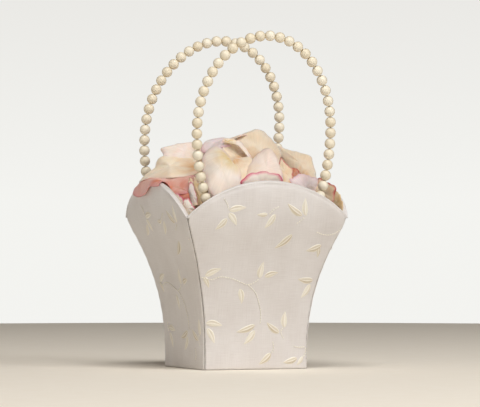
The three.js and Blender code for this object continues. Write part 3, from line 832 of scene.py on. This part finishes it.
def make_bottom():
    low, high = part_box("base_cover")
    cover = pillow("underside_satin", high[0], low[2], high[2], 0, INNER_SATIN)
    settle(cover, "basket", "inner_satin", "base_cover")
    low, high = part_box("floor_pad")
    pad = pillow("floor_cushion", high[0], low[2], high[2] - 0.3 * MM, 0.3 * MM, INNER_SATIN)
    settle(pad, "basket", "inner_satin", "floor_pad")
    for name in [f"{side}_board" for side in SIDES] + ["base_board"]:
        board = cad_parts[name]
        board.data.materials.clear()
        board.data.materials.append(CARD)


# ==== The handles ==========================================================================
def skewed(which, x, z):
    climbed = z / (HANDLE_WIDEST + ARCH_RISE)
    return (x + LOOPS[which][1] * climbed ** 2, z)


def leg_place(which, side, z):
    below = (HANDLE_WIDEST - z) / LEG_TAPER
    drawn_in = LOOPS[which][0] * math.sqrt(1 - below ** 2)
    return skewed(which, side * max(drawn_in, LEG_SPACING), z)


def arch_line(which):
    """The strand's line in the handle's plane, as (x, height above the pivot)."""
    steps = 60
    heights = [STRAND_START + (HANDLE_WIDEST - STRAND_START) * i / steps for i in range(steps)]
    left = [leg_place(which, -1, z) for z in heights]
    angles = [math.pi * (1 - i / 200) for i in range(201)]
    over = [skewed(which, LOOPS[which][0] * math.cos(t), HANDLE_WIDEST + ARCH_RISE * math.sin(t))
            for t in angles]
    right = [leg_place(which, 1, z) for z in reversed(heights)]
    return np.array(left + over + right)


def handle_place(which):
    """A function from the handle's plane to the frame."""
    turn = Matrix.Rotation(math.pi if which == "back" else 0.0, 4, "Z")
    lean = Matrix.Rotation(-math.radians(LOOPS[which][2]), 4, "X")
    place = turn @ Matrix.Translation((0, -HANDLE_Y, PIVOT_HEIGHT)) @ lean
    return lambda x, y, z: place @ Vector((x, y, z))


def bead_profile(radius, bore):
    """A bead's half outline with its drilled hole, as (distance along, distance out)."""
    start = math.asin(bore / radius)
    steps = 16
    outside = []
    for i in range(steps + 1):
        angle = start + (math.pi - 2 * start) * i / steps
        outside.append((-radius * math.cos(angle), radius * math.sin(angle)))
    end = outside[-1][0] - 0.25 * MM
    return outside + [(end, bore * 0.8), (-end, bore * 0.8)]


def make_pearls(which):
    line = arch_line(which)
    distance = run_along(line)
    count = int(distance[-1] / BEAD_PITCH)
    to_frame = handle_place(which)
    rng = random.Random(11 if which == "front" else 23)
    strand = Parts()
    sides = 28
    for bead in range(count):
        at = (bead + 0.5) * BEAD_PITCH
        here, ahead = (places_at(mark, distance, line) for mark in (at, at + 0.1 * MM))
        tangent = Vector((ahead[0] - here[0], 0, ahead[1] - here[1])).normalized()
        outward = Vector((tangent.z, 0, -tangent.x))
        profile = bead_profile(BEAD_RADIUS * rng.uniform(0.988, 1.004), BORE_RADIUS)
        oval = rng.uniform(0.985, 1.015)
        points = []
        for along, out in profile:
            for angle in turns(sides):
                offset = (tangent * along + outward * (out * oval * math.cos(angle))
                          + Vector((0, out * math.sin(angle), 0)))
                points.append(to_frame(here[0] + offset.x, offset.y, here[1] + offset.z))
        faces = grid_faces(len(profile), sides, loop_rows=True, loop_columns=True)
        strand.add([tuple(p) for p in points], faces, tone=[rng.random()] * len(points))
    piece = strand.build(f"{which}_pearl_strand", PEARL)
    settle(piece, f"{which}_handle", "pearl", f"{which}_handle_pearls")


def make_wire(which):
    to_frame = handle_place(which)
    line = []
    for side in (-1, 1):
        foot = leg_place(which, side, STRAND_START)[0]
        end = [(foot - side * (BEND_RADIUS + PIN_LENGTH), 0.0)]
        for i in range(9):
            turn = math.pi / 2 * i / 8
            end.append((foot - side * BEND_RADIUS * (1 - math.sin(turn)),
                        BEND_RADIUS * (1 - math.cos(turn))))
        line.append(end)
    path = line[0] + arch_line(which)[::3].tolist() + line[1][::-1]
    centres = [to_frame(x, 0, z) for x, z in path]
    points, faces = tube(centres, WIRE_RADIUS, 10, Vector((0, 1, 0)))
    piece = mesh_object(f"{which}_wire", points, faces, WIRE)
    settle(piece, f"{which}_handle", "wire", f"{which}_handle_wire")


def make_tab(which, side):
    """A ribbon folded over the wire's turned-in end, its two tails sewn to the lining."""
    name = f"{which}_handle_{'left' if side < 0 else 'right'}_tab"
    low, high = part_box(name)
    centre_x = (low[0] + high[0]) / 2
    facing = 1 if which == "back" else -1
    step = 10 * MM
    low_height, high_height = PIVOT_HEIGHT - 14 * MM, PIVOT_HEIGHT - 4 * MM
    slope = math.atan(float(half_width(high_height) - half_width(low_height)) / step)
    lining = float(half_width(PIVOT_HEIGHT)) - 4.8 * MM
    out = (lining - HANDLE_Y) * math.cos(slope)
    up = (lining - HANDLE_Y) * math.sin(slope)
    radius = 1.25 * MM
    line = [(0.75 * MM, -11 * MM), (0.75 * MM, -6 * MM), (0.8 * MM, up - 5 * MM)]
    for i in range(13):
        turn = math.radians(215 - 270 * i / 12)
        line.append((out + radius * math.cos(turn), up + radius * math.sin(turn)))
    line += [(1.5 * MM, up - 5.5 * MM), (1.35 * MM, -6 * MM), (1.35 * MM, -10.6 * MM)]
    width, columns = high[0] - low[0], 9
    normal = Vector((0, math.cos(slope), math.sin(slope)))
    upward = Vector((0, -math.sin(slope), math.cos(slope)))
    origin = Vector((0, -HANDLE_Y, PIVOT_HEIGHT)) - normal * out - upward * up
    points, cloth = [], []
    for i, (away, along) in enumerate(line):
        for k in range(columns):
            share = k / (columns - 1) - 0.5
            spot = origin + normal * away + upward * along
            points.append((centre_x + share * width, -facing * spot.y, spot.z))
            cloth.append((share * 5, i * 1.2, 0))
    piece = mesh_object(f"{name}_ribbon", points, grid_faces(len(line), columns), RIBBON,
                        cloth=cloth)
    thicken(piece, 0.35 * MM)
    settle(piece, "basket", "ribbon", name)


# ==== The petals ===========================================================================
PETAL_THICKNESS = 0.4 * MM
PETAL_RINGS = 18
PETAL_SPOKES = 72
SMALLEST_FLAT_SIDE = 10.5 * MM


def closed_curve(points, count):
    """A smooth closed curve through points, as count points an equal distance apart."""
    points = np.asarray(points, float)
    t = np.linspace(0, 1, 16, endpoint=False)[None, :, None]
    corners = [np.roll(points, k, axis=0)[:, None, :] for k in (1, 0, -1, -2)]
    curve = catmull_rom(*corners, t).reshape(-1, points.shape[1])
    curve = np.concatenate([curve, curve[:1]])
    distance = run_along(curve)
    return places_at(np.arange(count) / count * distance[-1], distance, curve)


def over_the_rim(points):
    """Lifts what would lie in a wall so that it passes over the wall's rounded rim."""
    x, y, z = points.T
    reach = np.maximum(np.abs(x), np.abs(y))
    beside = np.minimum(np.abs(x), np.abs(y))
    half = half_width(np.minimum(z, RIM_TOP))
    rim = rim_height(np.clip(beside / half, 0, 1))
    middle = half - FOLD_DEPTH / 2
    share = np.clip(np.abs(reach - middle) / (FOLD_DEPTH / 2 + 1.3 * MM), 0, 1)
    top = rim + 1.2 * MM - 3.2 * MM * (1 - np.sqrt(1 - share ** 2))
    lifted = np.where((share < 1) & (z > rim - 30 * MM), np.maximum(z, top), z)
    return np.stack([x, y, lifted], -1)


def petal_sheet(name, family, boundary, bulge=4.0, foot=0, lip=0.9, ruffle=0.6, crease=0.0,
                crease_angle=0.0, seed=0, over=False):
    """A rose petal inside a closed boundary of frame points, in metres.

    bulge lifts its middle towards the camera's side, in millimetres. foot is the boundary
    point where it grew, lip the turn-down of its edge, and crease a fold through its middle."""
    rng = random.Random(seed)
    edge_line = closed_curve(boundary, PETAL_SPOKES)
    foot_point = np.asarray(boundary[foot], float)
    centre = edge_line.mean(axis=0)
    arms = edge_line - centre
    normal = np.cross(arms, np.roll(arms, -1, axis=0)).sum(axis=0)
    normal /= np.linalg.norm(normal)
    if normal @ np.array(TOWARDS_CAMERA) < 0:
        edge_line = edge_line[::-1]
        arms = arms[::-1]
        normal = -normal
    turn = np.arange(PETAL_SPOKES) * 2 * np.pi / PETAL_SPOKES
    phases = [rng.uniform(0, 2 * math.pi) for _ in range(6)]
    jitter = (0.35 * np.sin(5 * turn + phases[0]) + 0.25 * np.sin(9 * turn + phases[1])
              + 0.15 * np.sin(16 * turn + phases[2])) * MM
    lengths = np.linalg.norm(arms, axis=1, keepdims=True)
    arms = arms * (1 + jitter[:, None] / lengths)
    size = lengths.mean()
    out = (np.arange(1, PETAL_RINGS + 1) / PETAL_RINGS)[:, None] ** 0.85
    turned = turn[None, :]
    rise = bulge * (1 - out ** 2)
    rise = rise + ruffle * out ** 2.5 * (np.sin(3 * turned + phases[3])
                                         + 0.7 * np.sin(5 * turned + phases[4]))
    rise = rise + 0.3 * np.sin(7 * turned + phases[5]) * out * (1 - out) * 2
    rise = rise - lip * np.clip((out - 0.82) / 0.18, 0, 1) ** 2
    rise = rise + crease * (np.abs(np.sin(turned - crease_angle)) - 0.6) * out * (1.2 - out)
    points = centre + arms[None, :, :] * out[:, :, None] + normal * (rise * MM)[:, :, None]
    points = points.reshape(-1, 3)
    points = np.concatenate([[centre + normal * bulge * MM], points])
    if over:
        points = over_the_rim(points)
    faces = [(0, 1 + k, 1 + (k + 1) % PETAL_SPOKES) for k in range(PETAL_SPOKES)]
    faces += [tuple(reversed(face)) for face in
              grid_faces(PETAL_RINGS, PETAL_SPOKES, loop_columns=True, start=1)]
    edge = np.concatenate([[0], np.broadcast_to(out, (PETAL_RINGS, PETAL_SPOKES)).ravel()])
    from_foot = points - foot_point
    distance = np.linalg.norm(from_foot, axis=1)
    along = (centre - foot_point) / np.linalg.norm(centre - foot_point)
    beside = np.cross(normal, along)
    spread = np.arctan2(from_foot @ beside, from_foot @ along + 0.15 * size)
    places = np.stack([spread, distance / size, np.full(len(points), seed * 0.37)], -1)
    near_foot = np.clip(1 - distance / (1.25 * size), 0, 1)
    piece = mesh_object(name, points, faces, PETALS[family], petal=places, edge=edge,
                        foot=near_foot)
    thicken(piece, PETAL_THICKNESS)
    across_lengths = np.linalg.norm(edge_line - np.roll(edge_line, PETAL_SPOKES // 2, 0), axis=1)
    long_side = float(across_lengths.max())
    area = sum(polygon.area for polygon in piece.data.polygons)
    short_side = max(area / (0.72 * long_side), SMALLEST_FLAT_SIDE)
    return piece, (short_side, long_side), area


def place_petal(name, family, node_name=None, **shape):
    piece, flat, area = petal_sheet(name, family, **shape)
    slot = PETAL_SLOT.get(family, f"petal_{family}")
    settle(piece, "petals", slot, *([node_name] if node_name else []))


# The petals on top of the heap. Each outline is a ring of places to the right of, behind and
# above the middle of the underside, in millimetres, as the camera sees them.
CROWN = [
    ("petal_left_drape", "rose", dict(bulge=2.5, foot=11, lip=0.6, ruffle=0.5, over=True), [
        (-77, 3, 131.5), (-72, 2, 138.3), (-66, -4, 141.8), (-58, -6, 144), (-46, -12, 146),
        (-35, -16, 146), (-29.5, -24, 143), (-31, -34, 137), (-34, -40, 131), (-42, -44, 130.2),
        (-49, -42, 132), (-53, -40, 136.5), (-56, -46, 138.6), (-57, -49, 136.4),
        (-60.5, -40, 135.8), (-63.5, -31, 136), (-66, -26, 131.5), (-69.5, -19, 129),
        (-74, -6, 129)]),
    ("petal_left", "peach", dict(bulge=3.5, foot=9, ruffle=0.8, crease=2.5, crease_angle=0.9), [
        (-72, 2, 139), (-70.5, 3, 143), (-66, 4, 147), (-61, 4, 150.3), (-59.5, 4, 154.5),
        (-55, 4, 158.8), (-47, 5, 160), (-38, 3, 158), (-30, 0, 156.5), (-26, -8, 150),
        (-28, -16, 144.8), (-36, -22, 143.4), (-46, -24, 142.6), (-54, -20, 142.6),
        (-62, -12, 142.4), (-68, -4, 140.4)]),
    ("petal_back_left", "blush", dict(bulge=3, foot=6, ruffle=0.6), [
        (-56.5, 8, 164.8), (-50, 9, 166.5), (-42, 11, 168.8), (-33, 12, 168.8), (-26, 12, 167),
        (-22, 10, 162), (-24, 2, 154), (-34, -2, 150), (-46, -2, 151), (-53, 2, 157),
        (-54.5, 6, 161)]),
    ("petal_centre_roll", "lilac", dict(bulge=3.6, foot=5, ruffle=0.4), [
        (-26, -4, 162), (-25, 0, 167), (-22, 4, 170), (-14, 7, 171.8), (-4, 7, 171.2),
        (4, 4, 168.8), (4, -5, 167), (-4, -11, 166.2), (-12, -13, 164.6), (-18, -10, 162.6),
        (-22, -7, 160.6)]),
    ("petal_centre", "cream", dict(bulge=5.5, foot=13, ruffle=0.5, crease=1.2), [
        (-15, -20, 165.8), (-20, -21, 163.5), (-24, -24, 159.5), (-24.5, -31, 152),
        (-23.5, -40, 144), (-21, -48, 136), (-17, -52, 129), (-10, -54, 124), (0, -54, 124),
        (5, -50, 131), (5, -44, 138), (4, -37, 145), (2, -31, 150.5), (-2, -25, 155.8),
        (-6, -21, 160.2), (-10, -19, 164.3)]),
    ("petal_top", "peach", dict(bulge=4.5, foot=11, ruffle=0.8, crease=1.5, crease_angle=1.6), [
        (-2, -2, 171.4), (5, 1, 175.4), (10, 2, 177), (16, 3, 178), (22, 3, 177.6),
        (26, 2, 174), (30, 1, 169), (33, 0, 164), (35, -4, 158), (32, -10, 150),
        (24, -14, 148), (16, -16, 148), (8, -15, 152), (2, -12, 158), (-2, -6, 166)]),
    ("petal_right_centre", "blush", dict(bulge=4.5, foot=9, ruffle=0.5, crease=1.0), [
        (24, -19, 164.8), (27.5, -20, 163.6), (31, -21, 158), (33, -25, 151.5),
        (34.6, -29, 145.5), (35.6, -34, 140), (33, -42, 134), (26, -46, 132), (14, -46, 134),
        (8, -42, 140), (8, -36, 146), (11, -28, 153), (15, -22, 158.6), (19.5, -19, 163)]),
    ("petal_front_rim", "pink_edge", dict(bulge=2, foot=10, lip=0.4, ruffle=0.2), [
        (4, -59, 138.5), (7, -58, 141.8), (10, -57, 144.6), (15, -55, 146), (22, -53, 146.2),
        (28, -50, 145.3), (32.5, -48, 144.6), (34.5, -46, 141), (33, -44, 134),
        (26, -46, 128), (16, -49, 126), (8, -53, 128), (4, -57, 133)]),
    ("petal_right_front", "red_edge", dict(bulge=0.5, foot=6, lip=0.1, ruffle=0.1), [
        (33.4, -17, 156.6), (35.6, -18, 155.2), (38.6, -20, 152.2), (41.9, -22, 148.6),
        (43, -24, 144), (42, -27, 139), (37, -31, 136), (32.5, -31, 139), (31.5, -24, 147)]),
    ("petal_right_back", "peach", dict(bulge=4, foot=10, ruffle=0.8, crease=1.2), [
        (32, 6, 166), (37, 7, 165), (43, 7, 163.5), (50, 8, 161.2), (55, 8, 159.5),
        (57.5, 7, 156.5), (59, 4, 151), (61, 0, 143.5), (61, -6, 138), (54, -10, 136),
        (46, -8, 140), (41, -4, 146), (37, 0, 153), (33, 4, 160)]),
    ("petal_right_rim", "lilac", dict(bulge=2.5, foot=7, ruffle=0.5), [
        (40.6, -28, 139.6), (43, -26, 142.2), (46, -23, 144.2), (51, -20, 144.6),
        (57, -17, 143.2), (61.5, -14, 141), (61, -14, 131), (54, -18, 125), (46, -24, 125),
        (41, -28, 131)]),
    ("petal_right_leg", "red_edge", dict(bulge=1.5, foot=10, ruffle=0.4, crease=2), [
        (55, -13, 138), (58, -12, 140.3), (61, -11, 141.9), (63.5, -12, 141.6),
        (67, -14, 139.5), (71, -17, 137.8), (74, -20, 135.3), (74, -21, 130),
        (73, -22, 124), (66, -18, 121), (58, -14, 124), (54.5, -14, 131)]),
    ("petal_front_left_curl", "pink_edge", dict(bulge=1.5, foot=6, lip=0.3, ruffle=0.2), [
        (-44.4, -55, 125), (-44.2, -57, 129.6), (-41.6, -60, 129.8), (-38.6, -63, 126.6),
        (-37, -65, 122), (-37.6, -64, 116), (-41, -59, 114), (-43.6, -56, 119)]),
    ("petal_front_left_edge", "pink_edge", dict(bulge=1.2, foot=6, lip=0.3, ruffle=0.2), [
        (-34.6, -50, 132), (-34.4, -50, 137), (-32.8, -49, 139.4), (-30.6, -50, 135),
        (-28.8, -52, 128), (-27.8, -53, 122), (-29, -55, 117), (-31.5, -54, 119),
        (-33.2, -52, 125)]),
]
# More petals between those, that no CAD piece stands for.
BETWEEN = [
    ("petal_fold", "peach", dict(bulge=-2.5, foot=6, lip=0.2, ruffle=0.3), [
        (-9, -12, 166), (-7, -11, 169.6), (0, -10, 168.6), (5, -11, 165), (8.6, -13, 161.2),
        (10.5, -15, 157.2), (6, -18, 156), (0, -19, 155.6), (-6, -19, 157), (-9, -16, 161)]),
    ("petal_rolled_lip", "cream", dict(bulge=1.2, foot=11, lip=0.3, ruffle=0.1), [
        (-10.5, -12, 169.2), (-8, -12, 171.2), (-3, -12, 171.6), (2, -12, 170), (6, -13, 166.4),
        (9.6, -15, 161.6), (11.8, -16, 157), (9.8, -17.5, 157.2), (7.2, -16.5, 161),
        (3.4, -15, 164.8), (-0.6, -14, 167.4), (-5.6, -13.5, 168.6)]),
    ("petal_behind_fold", "cream", dict(bulge=1.5, foot=5, ruffle=0.3), [
        (-13, 0, 164), (-9, 1, 168), (0, 2, 171), (8, 2, 173), (13, 0, 168), (10, -5, 160),
        (0, -7, 158), (-10, -5, 159)]),
    ("petal_right_corner", "olive", dict(bulge=0.6, foot=6, lip=0.3, ruffle=0.2), [
        (69, -17, 125), (71, -17, 131), (74.5, -18.5, 132.6), (77.5, -23, 129),
        (79.5, -28, 124), (79, -30, 117), (74, -24, 113), (70, -18, 117)]),
    ("petal_centre_low", "peach", dict(bulge=2, foot=0, ruffle=0.4), [
        (-3, -26, 156), (4, -23, 157.6), (12, -22, 158), (15, -27, 151), (13, -34, 143),
        (7, -42, 137), (2, -44, 134), (-1, -40, 140), (-2, -32, 149)]),
    ("petal_orange", "salmon", dict(bulge=1, foot=0, ruffle=0.2), [
        (38, -10, 140), (40, -8, 148), (44, -8, 149.5), (48, -9, 147), (48, -12, 141),
        (43, -14, 138)]),
    ("petal_corner", "pink_edge", dict(bulge=1.8, foot=6, lip=0.3, ruffle=0.2), [
        (-38, -67, 122), (-37.4, -68, 126.6), (-34.4, -70, 126.2), (-31.4, -71, 122),
        (-29.6, -71, 118), (-31, -71, 113.6), (-35.4, -70, 112.8), (-37.6, -68, 117)]),
    ("petal_behind_leg", "olive", dict(bulge=1.5, foot=4, ruffle=0.3), [
        (-31, -42, 139), (-27, -40, 138), (-22, -42, 134), (-19, -48, 126), (-22, -50, 116),
        (-28, -48, 114), (-31, -45, 124)]),
    ("petal_red_lip", "red_edge", dict(bulge=0.8, foot=4, ruffle=0.2), [
        (-35, -36, 140), (-33.5, -36, 142.5), (-31, -37, 140), (-29, -38, 137),
        (-30, -40, 132), (-34, -38, 133)]),
    ("petal_red_lip_right", "red_edge", dict(bulge=0.6, foot=3, ruffle=0.2), [
        (-31, -34, 143.5), (-29.5, -34, 142), (-26.5, -36, 136.5), (-27, -38, 132),
        (-31, -36, 134)]),
    ("petal_under_rose", "salmon", dict(bulge=2, foot=4, ruffle=0.5), [
        (-60.5, -9, 140), (-57, -20, 137.5), (-52, -32, 132.5), (-46, -44, 127.5),
        (-41, -48, 125.5), (-34, -46, 126), (-32, -42, 130), (-40, -34, 134.5),
        (-50, -22, 138)]),
]


def petal_ring(foot, tip, facing, width, cup):
    """A plain petal's outline between a foot and a tip, in metres, dished by cup."""
    foot, tip, facing = Vector(foot), Vector(tip), Vector(facing)
    forward = tip - foot
    length = forward.length
    forward.normalize()
    facing = (facing - forward * facing.dot(forward)).normalized()
    beside = forward.cross(facing)
    middle = foot + forward * length * 0.5
    ring = []
    for turn in turns(12):
        along, across = -math.cos(turn), math.sin(turn)
        breadth = 0.8 + 0.2 * math.tanh(2.2 * along)
        rise = cup * MM * (across ** 2 + 0.5 * along ** 2)
        ring.append(tuple(middle + forward * along * length / 2
                          + beside * across * breadth * width * MM / 2 + facing * rise))
    return ring


# Petals at the back and sides of the heap, in the frame's axes: middle of the petal, the
# direction of its tip in degrees round from +X, its slope, length, width and bulge. Those
# whose names start with petal_ stand for a CAD piece.
AROUND = [
    ("petal_back_rim", "blush", (-8, 47, 133), 92, 58, 40, 42, 5),
    ("petal_back_right", "cream", (18, 27, 152), 70, -18, 46, 40, -5),
    ("back_middle", "peach", (-14, 25, 154), 115, -20, 44, 40, -5),
    ("back_top", "blush", (6, 13, 166), 80, -25, 42, 40, -5),
    ("back_left_low", "lilac", (-35, 27, 142), 140, -28, 40, 38, -4),
    ("back_right_rim", "rose", (26, 46, 134), 75, 35, 34, 34, 5),
    ("right_back_low", "pink_edge", (44, 22, 143), 20, -12, 40, 36, -4),
    ("back_left_rim", "cream", (-24, 40, 132), 112, 16, 32, 30, 5),
    ("left_low", "blush", (-44, 20, 136), 170, -8, 40, 38, -3),
    ("right_low", "peach", (46, -4, 136), -10, 5, 38, 36, 4),
    ("front_low", "cream", (10, -34, 124), -80, 10, 44, 44, 4),
    ("front_left_low", "blush", (-36, -26, 122), -140, 0, 42, 40, 4),
    ("middle_low", "peach", (4, -4, 150), 10, 5, 46, 44, -4),
]
LOWER_FAMILIES = {1: "blush", 2: "cream", 3: "peach"}
LOWER_REACH, LOWER_WIDTH = 20 * MM, 38


def make_crown():
    for petals, first_seed in ((CROWN, 3), (BETWEEN, 23)):
        for number, (name, family, look, outline) in enumerate(petals):
            place_petal(f"{name}_petal", family, name if petals is CROWN else None,
                        seed=first_seed + number,
                        boundary=[tuple(seen(*place)) for place in outline], **look)


def make_around():
    for number, (name, family, middle, heading, slope, length, width, bulge) in enumerate(AROUND):
        heading, slope = math.radians(heading), math.radians(slope)
        level = Vector((math.cos(heading), math.sin(heading), 0))
        forward = level * math.cos(slope) + Vector((0, 0, math.sin(slope)))
        facing = Vector((0, 0, math.cos(slope))) - level * math.sin(slope)
        middle = Vector(middle) * MM
        half = forward * length * MM / 2
        ring = petal_ring(middle - half, middle + half, facing, width, 0)
        stands_for = name if name.startswith("petal_") else None
        place_petal(f"{name}_petal" if stands_for else f"petal_{name}_petal", family,
                    stands_for, boundary=ring, bulge=-bulge, seed=number + 61, ruffle=1.2)


def make_lower_petals():
    """The petals below the crown lie where their CAD pieces do."""
    for ring, family in LOWER_FAMILIES.items():
        for i in range(1, 5):
            node_name = f"petal_lower_{ring}_{i}"
            low, high = (np.array(corner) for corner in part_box(node_name))
            centre = (low + high) / 2
            outward = Vector((centre[0], centre[1], 0)).normalized()
            foot = Vector(centre) - outward * LOWER_REACH - Vector((0, 0, 2 * MM))
            tip = Vector(centre) + outward * LOWER_REACH + Vector((0, 0, 3 * MM))
            ring_points = petal_ring(foot, tip, Vector((0, 0, 1)) - 0.2 * outward, LOWER_WIDTH, 4)
            place_petal(f"{node_name}_petal", family, node_name, boundary=ring_points,
                        bulge=-2, seed=100 + 4 * ring + i, ruffle=1.2)


# ==== Build ================================================================================
make_camera()
make_light()
make_stage()
for quarter in range(4):
    make_cover(quarter)
    make_lining(quarter)
    make_embroidery(quarter)
    make_seam(quarter)
make_bottom()
for which in ("front", "back"):
    make_pearls(which)
    make_wire(which)
    for side in (-1, 1):
        make_tab(which, side)
make_crown()
make_around()
make_lower_petals()
